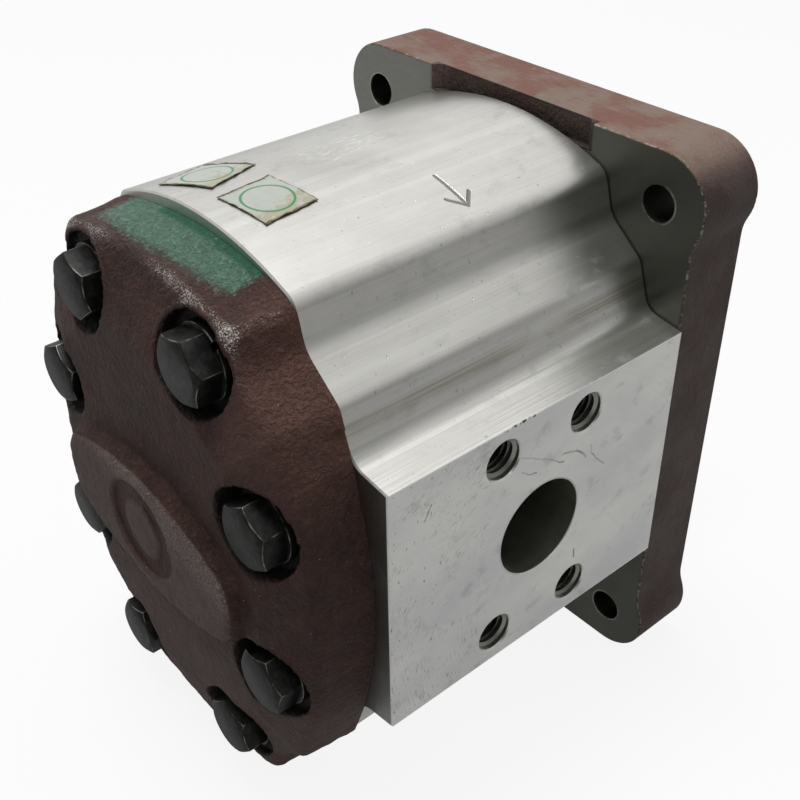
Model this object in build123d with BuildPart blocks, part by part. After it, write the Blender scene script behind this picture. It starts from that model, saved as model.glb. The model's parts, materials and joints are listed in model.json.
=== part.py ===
from build123d import *
import math
import os

# External gear pump, sizes in millimetres. The drive shaft lies on the Y axis and leaves the
# pump towards +Y. Y = 0 is the mounting face, the pump's own body lies on the -Y side, and the
# driven gear is straight below the drive gear. The inlet port faces +X, the outlet port -X.

# Gears: two equal involute spur gears, each in one piece with its journals
tooth_count = 12
module = 3.6
pressure_angle = 25.0
dedendum_factor = 1.25
tooth_thinning = 0.15
root_fillet_radius = 0.8
gear_width = 45.2
tip_clearance = 0.05
side_clearance = 0.05
centre_distance = module * tooth_count
pitch_radius = centre_distance / 2
tip_radius = pitch_radius + module
root_radius = pitch_radius - dedendum_factor * module
base_radius = pitch_radius * math.cos(math.radians(pressure_angle))
flank_points = 6

# Journals, bushes and the drive shaft's outer end
journal_diameter = 25.0
journal_clearance = 0.05
bush_wall = 1.5
journal_end_gap = 0.6
journal_end_chamfer = 1.0
seal_land_diameter = 24.0
seal_land_end = 8.5
taper_large_diameter = 21.9
taper_length = 28.0
taper_ratio = 1 / 8
thread_diameter = 14.0
thread_length = 16.0
thread_relief_depth = 0.9
thread_relief_length = 2.0
thread_end_chamfer = 1.0
shaft_step_length = 0.5
journal_seal_gap = 0.8

# Key, washer and nut on the shaft end
key_width = 4.0
key_disc_diameter = 16.0
key_height = 6.5
key_standout = 1.8
key_clearance = 0.03
washer_outer_diameter = 24.0
washer_thickness = 2.4
washer_chamfer = 0.4
nut_width = 22.0
nut_height = 8.0
thread_clearance = 0.05

# Housing: extruded section with a crown, a waist, a shoulder and a flat port pad on each side
housing_length = 91.2
port_face_width = 121.6
port_pad_height = 68.6
bore_wall = 8.1
bolt_hole_diameter = 10.6
upper_bolt_angle = 55.0
middle_bolt_reach = 1.2
crown_margin = 20.0
crown_radius = 82.0
crown_corner_reach = 11.5
waist_reach = 14.2
waist_rise = 2.7
shoulder_reach = 7.8
shoulder_rise = 26.1
pad_root_reach = 11.6
pad_root_rise = 1.6
crown_corner_radius = 5.0
waist_radius = 8.0
shoulder_radius = 4.0
pad_root_radius = 5.0
housing_edge_break = 0.4

# Ports with four-bolt split-flange patterns
inlet_diameter = 25.4
inlet_passage_diameter = 21.0
inlet_bolt_spacing_y = 26.2
inlet_bolt_spacing_z = 52.4
outlet_diameter = 19.0
outlet_passage_diameter = 15.0
outlet_bolt_spacing_y = 22.2
outlet_bolt_spacing_z = 47.6
port_bore_depth = 33.0
port_thread_diameter = 10.0
port_thread_depth = 14.0
port_thread_countersink = 10.7

# Rear cover: cast iron, drafted rim, sloping front, eight bolt pockets and a lens-shaped boss
cover_crown_step = 3.0
cover_crown_radius = 114.0
cover_lower_reach = 1.6
cover_flank_width = 112.6
cover_flank_rise = 2.2
cover_draft = 6.0
cover_rim_height = 14.8
cover_face_height = 20.2
cover_slope_width = 16.0
cover_boss_height = 24.5
cover_boss_width = 70.0
cover_boss_middle_height = 34.0
cover_boss_end_height = 18.0
cover_boss_end_bulge = 2.0
cover_boss_drop = 2.0
cover_boss_turn = -3.0
cover_boss_draft = 22.0
pocket_diameter = 22.2
bolt_seat_height = 12.8
boss_corner_radius = 5.0
boss_rim_break = 0.8
cover_edge_radius = 3.2

# Mounting flange: cast iron plate with four lugs and a pilot round the shaft
flange_thickness = 20.0
flange_bolt_spacing_x = 98.4
flange_bolt_spacing_z = 128.2
flange_bolt_hole_diameter = 9.0
flange_drop = 1.0
lug_radius = 12.8
flange_waist_width = 119.4
flange_neck_radius = 10.0
flange_edge_radius = 0.6
pilot_diameter = 50.8
pilot_height = 7.0
pilot_chamfer = 1.0
notch_width = 56.0
notch_depth = 2.2
notch_height = 6.5
notch_side_angle = 40.0
shaft_bore_clearance = 0.5

# Fasteners and locating pins
bolt_diameter = 9.5
bolt_engagement = 13.8
bolt_head_width = 14.3
bolt_head_height = 6.2
bolt_head_chamfer_angle = 30.0
bolt_head_face_margin = 0.6
bolt_head_turns = (8, 39, 41, 12, 46, 26, 13, 28)
lock_washer_outer_diameter = 17.2
lock_washer_inner_diameter = 9.8
lock_washer_thickness = 2.2
lock_washer_slit = 1.6
tapped_hole_clearance = 0.05
tapped_hole_spare_depth = 2.5
dowel_diameter = 8.0
dowel_length = 14.0
dowel_angle = 27.5
dowel_chamfer = 0.6

# Seals
block_clearance = 0.04
balance_path_radius = 19.55
balance_web_x = 9.8
balance_path_end_angle = 112.0
balance_seal_width = 2.0
backup_ring_width = 1.4
balance_seal_gap = 0.1
balance_groove_depth = 2.2
relief_pocket_spacing = 15.0
relief_pocket_width = 5.0
relief_pocket_height = 9.0
relief_pocket_depth = 2.5
housing_seal_gap_to_bore = 2.0
housing_seal_width = 2.4
housing_seal_depth = 2.0
housing_seal_edge = 0.5
seal_groove_clearance = 0.1
shaft_seal_outer_diameter = 40.0
shaft_seal_width = 7.0
shaft_seal_lip_width = 1.2
shaft_seal_wall = 1.6
shaft_seal_clearance = 0.05
retaining_ring_thickness = 1.75
retaining_ring_width = 3.2
retaining_ring_gap = 9.0
retaining_groove_depth = 1.0
pilot_lip_width = 1.25

# Places that follow from the sizes above
half_centre = centre_distance / 2
body_centre_z = -half_centre
flange_centre_z = body_centre_z - flange_drop
waist_overhang = flange_waist_width / 2 - flange_bolt_spacing_x / 2 - lug_radius
widest_neck_radius = waist_overhang / 2 if waist_overhang > 0 else flange_neck_radius
neck_radius = min(flange_neck_radius, widest_neck_radius)
bore_radius = tip_radius + tip_clearance
journal_radius = journal_diameter / 2
bush_inner_radius = journal_radius + journal_clearance
bush_outer_radius = bush_inner_radius + bush_wall
housing_front_y = -flange_thickness
housing_rear_y = housing_front_y - housing_length
housing_middle_y = (housing_front_y + housing_rear_y) / 2
block_length = (housing_length - gear_width) / 2 - side_clearance
gear_front_y = housing_middle_y + gear_width / 2
bolt_seat_y = housing_rear_y - bolt_seat_height
bolt_head_y = bolt_seat_y - lock_washer_thickness
bolt_end_y = housing_front_y + bolt_engagement
bolt_length = bolt_end_y - bolt_head_y
port_face_x = port_face_width / 2
bolt_circle_radius = bore_radius + bore_wall + bolt_hole_diameter / 2
upper_bolt_x = bolt_circle_radius * math.cos(math.radians(upper_bolt_angle))
upper_bolt_z = half_centre + bolt_circle_radius * math.sin(math.radians(upper_bolt_angle))
middle_bolt_x = bolt_circle_radius + middle_bolt_reach
bolt_points = [
    (side * x, end * z)
    for x, z in ((upper_bolt_x, upper_bolt_z), (middle_bolt_x, half_centre))
    for side in (-1, 1)
    for end in (-1, 1)
]
dowel_x = bolt_circle_radius * math.cos(math.radians(dowel_angle))
dowel_z = half_centre + bolt_circle_radius * math.sin(math.radians(dowel_angle))
dowel_points = [(-dowel_x, dowel_z), (dowel_x, -dowel_z)]
crown_z = upper_bolt_z + crown_margin
crown_corner_x = upper_bolt_x + crown_corner_reach
waist = (upper_bolt_x + waist_reach, upper_bolt_z + waist_rise)
shoulder = (bolt_circle_radius + shoulder_reach, half_centre + shoulder_rise)
pad_corner = (port_face_x, port_pad_height / 2)
pad_root = (bolt_circle_radius + pad_root_reach, port_pad_height / 2 + pad_root_rise)
housing_seal_inner_radius = bore_radius + housing_seal_gap_to_bore
balance_groove_width = balance_seal_width + backup_ring_width + balance_seal_gap
balance_seal_offset = (balance_groove_width - balance_seal_width) / 2
backup_ring_offset = -(balance_groove_width - backup_ring_width) / 2
shaft_seal_back_y = pilot_height - pilot_lip_width - retaining_ring_thickness - shaft_seal_width
retaining_ring_back_y = shaft_seal_back_y + shaft_seal_width


def section(y, z=0.0):
    """Plane across the shafts at y that faces the rear cover, centred at height z."""
    return Plane(origin=(0, y, z), x_dir=(1, 0, 0), z_dir=(0, -1, 0))


def port_plane(side):
    """Plane of the port face on the +X or the -X side, centred on the port."""
    return Plane(
        origin=(side * port_face_x, housing_middle_y, body_centre_z),
        x_dir=(0, 1, 0),
        z_dir=(side, 0, 0),
    )


def mirrored_corners(outline, corner):
    """The four vertices of a doubly symmetric outline that one corner point stands for."""
    return outline.vertices().filter_by(
        lambda v: math.isclose(abs(v.X), corner[0], abs_tol=0.01)
        and math.isclose(abs(v.Y), corner[1], abs_tol=0.01)
    )


def crown_corner(top, radius):
    """Where a crown arc with its top on the centre line ends."""
    return (crown_corner_x, top - radius + math.sqrt(radius**2 - crown_corner_x**2))


def housing_outline():
    """Extruded section: crown, waist, shoulder and port pad, mirrored both ways."""
    corner = crown_corner(crown_z, crown_radius)
    upper = [corner, waist, shoulder, pad_root, pad_corner]
    lower = [(x, -z) for x, z in reversed(upper)]
    with BuildSketch() as outline:
        with BuildLine():
            ThreePointArc((-corner[0], corner[1]), (0, crown_z), corner)
            ThreePointArc((-corner[0], -corner[1]), (0, -crown_z), (corner[0], -corner[1]))
            flank = Polyline(*upper, *lower)
            mirror(flank, about=Plane.YZ)
        make_face()
        fillet(mirrored_corners(outline, corner), crown_corner_radius)
        fillet(mirrored_corners(outline, waist), waist_radius)
        fillet(mirrored_corners(outline, shoulder), shoulder_radius)
        fillet(mirrored_corners(outline, pad_root), pad_root_radius)
    return outline.sketch


def cover_outline(share=1.0):
    """Joint outline of the rear cover, which follows the housing and bows out at mid height."""
    top = crown_z - cover_crown_step
    corner = crown_corner(top, cover_crown_radius)
    flank_top = (pad_root[0], port_pad_height / 2 + cover_flank_rise)
    flank_bottom = (flank_top[0], -flank_top[1] - cover_lower_reach)
    upper = [corner, waist, shoulder, flank_top]
    lower = [(x, -z - cover_lower_reach) for x, z in reversed(upper)]
    with BuildSketch() as outline:
        with BuildLine():
            ThreePointArc((-corner[0], corner[1]), (0, top), corner)
            ThreePointArc((-corner[0], lower[-1][1]), (0, -top - cover_lower_reach), lower[-1])
            upper_flank = Polyline(*upper)
            lower_flank = Polyline(*lower)
            bow = ThreePointArc(flank_top, (cover_flank_width / 2, 0), flank_bottom)
            mirror([upper_flank, lower_flank, bow], about=Plane.YZ)
        make_face()
        for point, radius in (
            (corner, crown_corner_radius),
            (waist, waist_radius),
            (shoulder, shoulder_radius),
        ):
            fillet(mirrored_corners(outline, point), radius)
            fillet(mirrored_corners(outline, (point[0], point[1] + cover_lower_reach)), radius)
        scale(by=share)
    return outline.sketch


def boss_outline():
    """Lens-shaped boss between the four middle bolt pockets."""
    corner = (cover_boss_width / 2 - cover_boss_end_bulge, cover_boss_end_height / 2)
    left_corner = (-corner[0], corner[1])
    with BuildSketch() as outline:
        with BuildLine():
            long_side = ThreePointArc(left_corner, (0, cover_boss_middle_height / 2), corner)
            end = ThreePointArc(corner, (cover_boss_width / 2, 0), (corner[0], -corner[1]))
            mirror(long_side, about=Plane.XZ)
            mirror(end, about=Plane.YZ)
        make_face()
        fillet(mirrored_corners(outline, corner), boss_corner_radius)
    return outline.sketch


def figure_eight(radius):
    """Two overlapping circles about the gear axes."""
    with BuildSketch() as outline:
        with GridLocations(0, centre_distance, 1, 2):
            Circle(radius)
    return outline.sketch


def racetrack_ring(inner_radius, width):
    """Ring of even width round both gear axes."""
    with BuildSketch() as ring:
        SlotCenterToCenter(centre_distance, 2 * (inner_radius + width), rotation=90)
        SlotCenterToCenter(centre_distance, 2 * inner_radius, rotation=90, mode=Mode.SUBTRACT)
    return ring.sketch


def three_shape(offset, width):
    """Strip like the figure three, bowed to the inlet side and joined by a short web."""
    radius = balance_path_radius + offset
    web_x = balance_web_x + offset
    web_angle = math.degrees(math.acos(web_x / radius))
    web_z = half_centre - radius * math.sin(math.radians(web_angle))
    sweep = web_angle + balance_path_end_angle
    with BuildSketch() as strip:
        with BuildLine() as path:
            CenterArc((0, half_centre), radius, -web_angle, sweep)
            Line((web_x, web_z), (web_x, -web_z))
            CenterArc((0, -half_centre), radius, web_angle, -sweep)
        trace(path.line, line_width=width)
    return strip.sketch


def rotated(point, angle):
    """Point turned about the origin by an angle in degrees."""
    x, y = point
    turn = math.radians(angle)
    return (
        x * math.cos(turn) - y * math.sin(turn),
        x * math.sin(turn) + y * math.cos(turn),
    )


def involute_flank():
    """Points on a tooth's left flank from base circle to tip, the tooth centred on +X."""
    pitch_roll = math.tan(math.radians(pressure_angle)) - math.radians(pressure_angle)
    half_tooth = math.pi / (2 * tooth_count) - tooth_thinning / (2 * pitch_radius)
    points = []
    for step in range(flank_points):
        radius = base_radius + (tip_radius - base_radius) * step / (flank_points - 1)
        roll = math.acos(base_radius / radius)
        angle = half_tooth + pitch_roll - (math.tan(roll) - roll)
        points.append((radius * math.cos(angle), radius * math.sin(angle)))
    return points


def gear_outline(first_tooth_angle):
    """Spur gear profile, with radial roots below the base circle and rounded root corners."""
    flank = involute_flank()
    foot_angle = math.atan2(flank[0][1], flank[0][0])
    foot = (root_radius * math.cos(foot_angle), root_radius * math.sin(foot_angle))
    pitch_angle = 360 / tooth_count
    with BuildSketch() as outline:
        with BuildLine():
            for tooth in range(tooth_count):
                turn = first_tooth_angle + tooth * pitch_angle
                left = [rotated(p, turn) for p in flank]
                right = [rotated((x, -y), turn) for x, y in flank]
                left_foot = rotated(foot, turn)
                right_foot = rotated((foot[0], -foot[1]), turn)
                next_foot = rotated((foot[0], -foot[1]), turn + pitch_angle)
                Line(right_foot, right[0])
                Spline(*right)
                ThreePointArc(right[-1], rotated((tip_radius, 0), turn), left[-1])
                Spline(*left)
                Line(left_foot, left[0])
                ThreePointArc(
                    left_foot,
                    rotated((root_radius, 0), turn + pitch_angle / 2),
                    next_foot,
                )
        make_face()
        roots = outline.vertices().filter_by(
            lambda v: math.isclose(math.hypot(v.X, v.Y), root_radius, abs_tol=0.01)
        )
        fillet(roots, root_fillet_radius)
    return outline.sketch


# Mounting flange, cast iron, with the shaft seal's seat in its pilot
with BuildPart() as front_flange:
    with BuildSketch(section(0, flange_centre_z)) as plate:
        Rectangle(flange_bolt_spacing_x, flange_bolt_spacing_z + 2 * lug_radius)
        Rectangle(flange_waist_width, flange_bolt_spacing_z)
        with GridLocations(flange_bolt_spacing_x, flange_bolt_spacing_z, 2, 2):
            Circle(lug_radius)
        necks = plate.vertices().filter_by(
            lambda v: math.isclose(abs(v.X), flange_waist_width / 2, abs_tol=0.01)
        )
        fillet(necks, neck_radius)
    extrude(amount=flange_thickness)
    fillet(front_flange.edges().filter_by(Axis.Y, reverse=True), flange_edge_radius)
    with BuildSketch(section(0)):
        Circle(pilot_diameter / 2)
    extrude(amount=-pilot_height)
    chamfer(front_flange.edges().filter_by(GeomType.CIRCLE).sort_by(Axis.Y)[-1], pilot_chamfer)
    with BuildSketch(section(0, flange_centre_z)):
        with GridLocations(flange_bolt_spacing_x, flange_bolt_spacing_z, 2, 2):
            Circle(flange_bolt_hole_diameter / 2)
    extrude(amount=flange_thickness, mode=Mode.SUBTRACT)
    with BuildSketch(section(housing_front_y, body_centre_z)):
        with Locations(*bolt_points):
            Circle(bolt_diameter / 2 + tapped_hole_clearance)
    extrude(amount=housing_front_y - bolt_end_y - tapped_hole_spare_depth, mode=Mode.SUBTRACT)
    with BuildSketch(section(housing_front_y, body_centre_z)):
        with Locations(*dowel_points):
            Circle(dowel_diameter / 2)
    extrude(amount=-dowel_length / 2, mode=Mode.SUBTRACT)
    for end in (-1, 1):
        plate_edge_z = flange_centre_z + end * (flange_bolt_spacing_z / 2 + lug_radius)
        with BuildSketch(Plane.XY.offset(plate_edge_z)):
            with Locations((0, housing_front_y + notch_depth / 2)):
                Trapezoid(notch_width, notch_depth, notch_side_angle)
        extrude(amount=-end * notch_height, mode=Mode.SUBTRACT)
    with BuildSketch(section(housing_front_y)):
        Circle(journal_radius + shaft_bore_clearance)
    extrude(amount=-flange_thickness, mode=Mode.SUBTRACT)
    with BuildSketch(section(pilot_height)):
        Circle(shaft_seal_outer_diameter / 2)
    extrude(amount=pilot_height - shaft_seal_back_y, mode=Mode.SUBTRACT)
    with BuildSketch(section(retaining_ring_back_y + retaining_ring_thickness)):
        Circle(shaft_seal_outer_diameter / 2 + retaining_groove_depth)
    extrude(amount=retaining_ring_thickness, mode=Mode.SUBTRACT)

# Housing, an aluminium extrusion with the figure-eight bore and both ports machined in
with BuildPart() as gear_housing:
    with BuildSketch(section(housing_front_y, body_centre_z)):
        add(housing_outline())
    extrude(amount=housing_length)
    chamfer(gear_housing.edges().filter_by(Axis.Y, reverse=True), housing_edge_break)
    with BuildSketch(section(housing_front_y, body_centre_z)):
        add(figure_eight(bore_radius))
    extrude(amount=housing_length, mode=Mode.SUBTRACT)
    with BuildSketch(section(housing_front_y, body_centre_z)):
        with Locations(*bolt_points):
            Circle(bolt_hole_diameter / 2)
    extrude(amount=housing_length, mode=Mode.SUBTRACT)
    with Locations(port_plane(1)):
        CounterBoreHole(inlet_passage_diameter / 2, inlet_diameter / 2, port_bore_depth, port_face_x)
        with GridLocations(inlet_bolt_spacing_y, inlet_bolt_spacing_z, 2, 2):
            CounterSinkHole(port_thread_diameter / 2, port_thread_countersink / 2, port_thread_depth)
    with Locations(port_plane(-1)):
        CounterBoreHole(outlet_passage_diameter / 2, outlet_diameter / 2, port_bore_depth, port_face_x)
        with GridLocations(outlet_bolt_spacing_y, outlet_bolt_spacing_z, 2, 2):
            CounterSinkHole(port_thread_diameter / 2, port_thread_countersink / 2, port_thread_depth)
    for end_y, inward in ((housing_front_y, 1), (housing_rear_y, -1)):
        with BuildSketch(section(end_y, body_centre_z)):
            add(
                racetrack_ring(
                    housing_seal_inner_radius - seal_groove_clearance,
                    housing_seal_width + 2 * seal_groove_clearance,
                )
            )
        extrude(amount=inward * housing_seal_depth, mode=Mode.SUBTRACT)
        with BuildSketch(section(end_y, body_centre_z)):
            with Locations(*dowel_points):
                Circle(dowel_diameter / 2)
        extrude(amount=inward * dowel_length / 2, mode=Mode.SUBTRACT)

# Rear cover, cast iron: drafted rim, sloping front, boss, then the machined bolt pockets
with BuildPart() as rear_cover:
    with BuildSketch(section(housing_rear_y, body_centre_z)):
        add(cover_outline())
    extrude(amount=cover_rim_height, taper=cover_draft)
    rim_share = 1 - cover_slope_width / (cover_flank_width / 2)
    rim_face = rear_cover.faces().sort_by(Axis.Y)[0]
    with BuildSketch(
        section(housing_rear_y - cover_face_height, body_centre_z), mode=Mode.PRIVATE
    ) as front_face:
        add(cover_outline(rim_share))
    loft([rim_face, front_face.sketch.face()], ruled=True)
    rim_y = housing_rear_y - cover_rim_height
    fillet(rear_cover.edges().filter_by_position(Axis.Y, rim_y, rim_y), cover_edge_radius)
    with BuildSketch(section(housing_rear_y - cover_boss_height, body_centre_z - cover_boss_drop)):
        add(boss_outline(), rotation=cover_boss_turn)
    extrude(amount=cover_rim_height - cover_boss_height, taper=-cover_boss_draft)
    chamfer(rear_cover.faces().sort_by(Axis.Y)[0].edges(), boss_rim_break)
    with BuildSketch(section(bolt_seat_y, body_centre_z)):
        with Locations(*bolt_points):
            Circle(pocket_diameter / 2)
    extrude(amount=cover_boss_height, mode=Mode.SUBTRACT)
    with BuildSketch(section(housing_rear_y, body_centre_z)):
        with Locations(*bolt_points):
            Circle(bolt_hole_diameter / 2)
    extrude(amount=cover_boss_height, mode=Mode.SUBTRACT)
    with BuildSketch(section(housing_rear_y, body_centre_z)):
        with Locations(*dowel_points):
            Circle(dowel_diameter / 2)
    extrude(amount=dowel_length / 2, mode=Mode.SUBTRACT)

# One hex bolt on the Z axis, head downwards, which the eight cover bolts repeat
with BuildPart() as hex_bolt:
    with BuildSketch():
        RegularPolygon(bolt_head_width / 2, 6, major_radius=False)
    extrude(amount=-bolt_head_height)
    corner_radius = bolt_head_width / math.sqrt(3)
    face_radius = bolt_head_width / 2 - bolt_head_face_margin
    crown_drop = (corner_radius - face_radius) * math.tan(math.radians(bolt_head_chamfer_angle))
    with BuildSketch(Plane.XZ):
        with BuildLine():
            Polyline(
                (0, 0),
                (corner_radius, 0),
                (corner_radius, -bolt_head_height + crown_drop),
                (face_radius, -bolt_head_height),
                (0, -bolt_head_height),
                close=True,
            )
        make_face()
    revolve(axis=Axis.Z, mode=Mode.INTERSECT)
    with BuildSketch():
        Circle(bolt_diameter / 2)
    extrude(amount=bolt_length)

# Eight cover bolts, each tightened to its own angle
with BuildPart() as cover_bolts:
    for (x, z), turn in zip(bolt_points, bolt_head_turns):
        seat = Plane(
            origin=(x, bolt_head_y, body_centre_z + z),
            x_dir=(math.cos(math.radians(turn)), 0, math.sin(math.radians(turn))),
            z_dir=(0, 1, 0),
        )
        add(hex_bolt.part.moved(seat.location))

# Split lock washers, each with its slit at another angle
with BuildPart() as lock_washers:
    for (x, z), turn in zip(bolt_points, bolt_head_turns):
        with BuildSketch(section(bolt_seat_y, body_centre_z)):
            with Locations((x, z)):
                Circle(lock_washer_outer_diameter / 2)
                Circle(lock_washer_inner_diameter / 2, mode=Mode.SUBTRACT)
            with Locations(Location((x, z), 4 * turn)):
                Rectangle(
                    lock_washer_outer_diameter,
                    lock_washer_slit,
                    align=(Align.MIN, Align.CENTER),
                    mode=Mode.SUBTRACT,
                )
        extrude(amount=lock_washer_thickness)

# Drive gear: gear, journals, seal land, keyed taper and thread in one steel piece
with BuildPart() as drive_gear:
    taper_start = seal_land_end + shaft_step_length
    taper_end = taper_start + taper_length
    taper_small_radius = taper_large_diameter / 2 - taper_length * taper_ratio / 2
    thread_end = taper_end + thread_length
    relief_radius = thread_diameter / 2 - thread_relief_depth
    journal_start = housing_rear_y + journal_end_gap
    journal_end = shaft_seal_back_y - journal_seal_gap
    with BuildSketch(Plane.YZ):
        with BuildLine():
            Polyline(
                (journal_start, 0),
                (journal_start, journal_radius - journal_end_chamfer),
                (journal_start + journal_end_chamfer, journal_radius),
                (journal_end, journal_radius),
                (journal_end + shaft_step_length, seal_land_diameter / 2),
                (seal_land_end, seal_land_diameter / 2),
                (taper_start, taper_large_diameter / 2),
                (taper_end, taper_small_radius),
                (taper_end, relief_radius),
                (taper_end + thread_relief_length, relief_radius),
                (taper_end + thread_relief_length + thread_relief_depth, thread_diameter / 2),
                (thread_end - thread_end_chamfer, thread_diameter / 2),
                (thread_end, thread_diameter / 2 - thread_end_chamfer),
                (thread_end, 0),
                close=True,
            )
        make_face()
    revolve(axis=Axis.Y)
    with BuildSketch(section(gear_front_y)):
        add(gear_outline(-90))
    extrude(amount=gear_width)
    key_y = taper_start + taper_length / 2
    key_shaft_radius = taper_large_diameter / 2 - (key_y - taper_start) * taper_ratio / 2
    key_top_z = key_shaft_radius + key_standout
    key_centre_z = key_top_z - key_height + key_disc_diameter / 2
    with BuildSketch(Plane.YZ):
        with Locations((key_y, key_centre_z)):
            Circle(key_disc_diameter / 2 + key_clearance)
    extrude(amount=key_width / 2 + key_clearance, both=True, mode=Mode.SUBTRACT)

# Driven gear on the lower axis, its tooth spaces facing the drive gear's teeth
with BuildPart() as driven_gear:
    driven_end = housing_front_y - journal_end_gap
    with BuildSketch(Plane(origin=(0, 0, -centre_distance), x_dir=(0, 1, 0), z_dir=(1, 0, 0))):
        with BuildLine():
            Polyline(
                (journal_start, 0),
                (journal_start, journal_radius - journal_end_chamfer),
                (journal_start + journal_end_chamfer, journal_radius),
                (driven_end - journal_end_chamfer, journal_radius),
                (driven_end, journal_radius - journal_end_chamfer),
                (driven_end, 0),
                close=True,
            )
        make_face()
    revolve(axis=Axis((0, 0, -centre_distance), (0, 1, 0)))
    with BuildSketch(section(gear_front_y, -centre_distance)):
        add(gear_outline(90 - 180 / tooth_count))
    extrude(amount=gear_width)

# Bearing block in front of the gears, with a balance groove in its outer face and trapped-oil
# pockets beside the mesh in its inner face
with BuildPart() as front_bearing_block:
    with BuildSketch(section(housing_front_y, body_centre_z)):
        add(figure_eight(bore_radius - block_clearance))
        with GridLocations(0, centre_distance, 1, 2):
            Circle(bush_outer_radius, mode=Mode.SUBTRACT)
    extrude(amount=block_length)
    with BuildSketch(section(housing_front_y, body_centre_z)):
        add(three_shape(0, balance_groove_width))
    extrude(amount=balance_groove_depth, mode=Mode.SUBTRACT)
    with BuildSketch(section(housing_front_y - block_length, body_centre_z)):
        with GridLocations(relief_pocket_spacing, 0, 2, 1):
            Rectangle(relief_pocket_width, relief_pocket_height)
    extrude(amount=-relief_pocket_depth, mode=Mode.SUBTRACT)

# Plain bushes pressed into the front block
with BuildPart() as front_drive_bush:
    with BuildSketch(section(housing_front_y)):
        Circle(bush_outer_radius)
        Circle(bush_inner_radius, mode=Mode.SUBTRACT)
    extrude(amount=block_length)

with BuildPart() as front_driven_bush:
    with BuildSketch(section(housing_front_y, -centre_distance)):
        Circle(bush_outer_radius)
        Circle(bush_inner_radius, mode=Mode.SUBTRACT)
    extrude(amount=block_length)

# Rubber balance seal and the stiff backup ring beside it, both in the block's groove
with BuildPart() as front_balance_seal:
    with BuildSketch(section(housing_front_y, body_centre_z)):
        add(three_shape(balance_seal_offset, balance_seal_width))
    extrude(amount=balance_groove_depth)

with BuildPart() as front_backup_ring:
    with BuildSketch(section(housing_front_y, body_centre_z)):
        add(three_shape(backup_ring_offset, backup_ring_width))
    extrude(amount=balance_groove_depth)

# Racetrack seal in the housing's groove, between the housing and the flange
with BuildPart() as front_housing_seal:
    with BuildSketch(section(housing_front_y, body_centre_z)):
        add(racetrack_ring(housing_seal_inner_radius, housing_seal_width))
    extrude(amount=housing_seal_depth)
    chamfer(front_housing_seal.edges().filter_by(Axis.Y, reverse=True), housing_seal_edge)

# Two locating pins across the joint between the flange and the housing
with BuildPart() as front_dowels:
    with BuildSketch(section(housing_front_y + dowel_length / 2, body_centre_z)):
        with Locations(*dowel_points):
            Circle(dowel_diameter / 2)
    extrude(amount=dowel_length)
    chamfer(front_dowels.edges().filter_by(GeomType.CIRCLE), dowel_chamfer)

# The same pieces at the rear, mirrored about the middle of the gears
gear_middle = section(housing_middle_y)
with BuildPart() as rear_bearing_block:
    mirror(front_bearing_block.part, about=gear_middle)
with BuildPart() as rear_drive_bush:
    mirror(front_drive_bush.part, about=gear_middle)
with BuildPart() as rear_driven_bush:
    mirror(front_driven_bush.part, about=gear_middle)
with BuildPart() as rear_balance_seal:
    mirror(front_balance_seal.part, about=gear_middle)
with BuildPart() as rear_backup_ring:
    mirror(front_backup_ring.part, about=gear_middle)
with BuildPart() as rear_housing_seal:
    mirror(front_housing_seal.part, about=gear_middle)
with BuildPart() as rear_dowels:
    mirror(front_dowels.part, about=gear_middle)

# Lip seal in the flange: an outer case with a web that carries the lip on the drive shaft
with BuildPart() as shaft_seal:
    seal_outer_radius = shaft_seal_outer_diameter / 2
    seal_lip_radius = seal_land_diameter / 2 + shaft_seal_clearance
    lip_outer_radius = seal_lip_radius + shaft_seal_lip_width
    seal_web_y = retaining_ring_back_y - shaft_seal_wall
    with BuildSketch(Plane.YZ):
        with BuildLine():
            Polyline(
                (shaft_seal_back_y, seal_outer_radius),
                (retaining_ring_back_y, seal_outer_radius),
                (retaining_ring_back_y, seal_lip_radius),
                (shaft_seal_back_y + shaft_seal_wall, seal_lip_radius),
                (shaft_seal_back_y + shaft_seal_wall, lip_outer_radius),
                (seal_web_y, lip_outer_radius + shaft_seal_lip_width),
                (seal_web_y, seal_outer_radius - shaft_seal_wall),
                (shaft_seal_back_y, seal_outer_radius - shaft_seal_wall),
                close=True,
            )
        make_face()
    revolve(axis=Axis.Y)

# Snap ring that holds the shaft seal in the pilot
with BuildPart() as seal_retaining_ring:
    ring_outer_radius = seal_outer_radius + retaining_groove_depth
    with BuildSketch(section(retaining_ring_back_y + retaining_ring_thickness)):
        Circle(ring_outer_radius)
        Circle(ring_outer_radius - retaining_ring_width, mode=Mode.SUBTRACT)
        with Locations((0, -ring_outer_radius)):
            Rectangle(retaining_ring_gap, 4 * retaining_ring_width, mode=Mode.SUBTRACT)
    extrude(amount=retaining_ring_thickness)

# Half-round key in the taper
with BuildPart() as shaft_key:
    with BuildSketch(Plane.YZ):
        with Locations((key_y, key_centre_z)):
            Circle(key_disc_diameter / 2)
        with Locations((key_y, key_top_z)):
            Rectangle(
                key_disc_diameter,
                key_disc_diameter,
                align=(Align.CENTER, Align.MIN),
                mode=Mode.SUBTRACT,
            )
    extrude(amount=key_width / 2, both=True)

# Washer and hex nut that hold a coupling on the taper
with BuildPart() as shaft_washer:
    with BuildSketch(section(taper_end + washer_thickness)):
        Circle(washer_outer_diameter / 2)
        Circle(thread_diameter / 2 + thread_clearance, mode=Mode.SUBTRACT)
    extrude(amount=washer_thickness)
    chamfer(shaft_washer.edges().filter_by(GeomType.CIRCLE).group_by(SortBy.RADIUS)[-1], washer_chamfer)

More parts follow.
